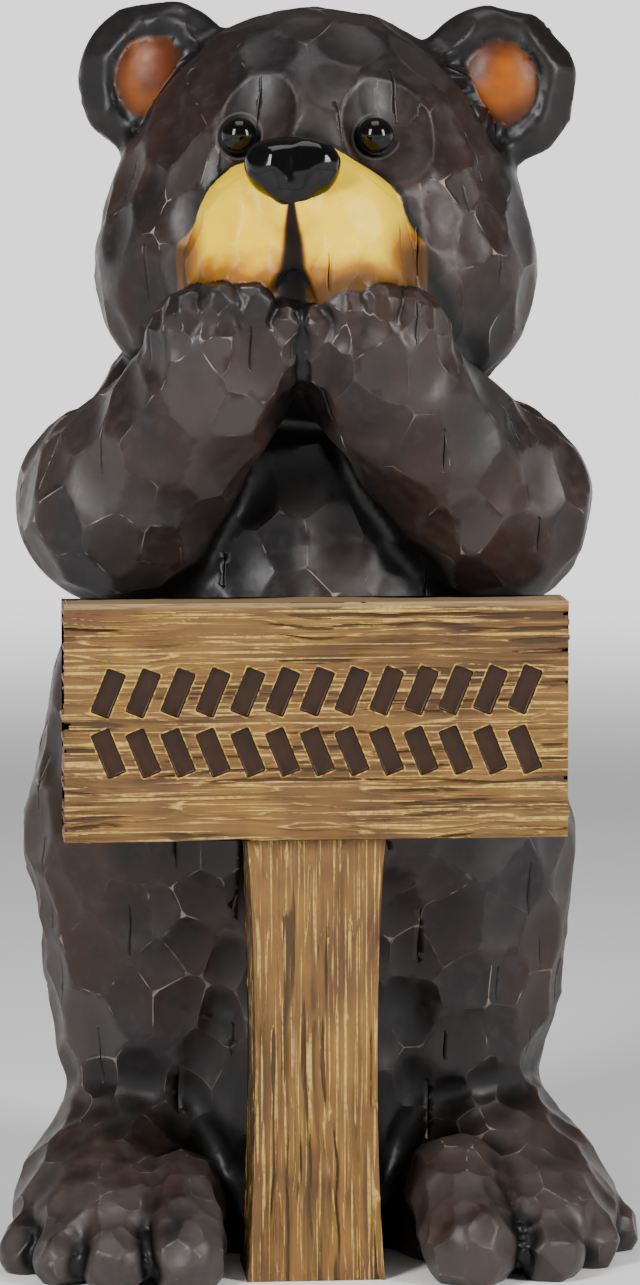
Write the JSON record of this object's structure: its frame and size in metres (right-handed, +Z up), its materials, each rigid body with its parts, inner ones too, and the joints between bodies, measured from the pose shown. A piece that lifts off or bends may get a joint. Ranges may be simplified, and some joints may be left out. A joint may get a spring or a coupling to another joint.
{
  "type": "carved bear statue",
  "caption": "Chunky carved bear with facet-cut surface and paws at its mouth, standing behind a rustic board on a short post.",
  "frame": {"origin": "middle of the bear's flat underside, on the ground", "axes": "+Z up along the bear's height, -Y the way the bear and the board face, +X to the right of someone facing the front"},
  "size_m": [0.3127, 0.2518, 0.608],
  "materials": {
    "bear_paint": "satin black-brown paint on cast resin",
    "board_paint": "weathered wood-look paint, satin",
    "post_paint": "weathered wood-look paint, satin"
  },
  "bodies": {
    "root": {"bear": "bear_paint", "sign_board": "board_paint", "sign_post": "post_paint"}
  },
  "joints": []
}
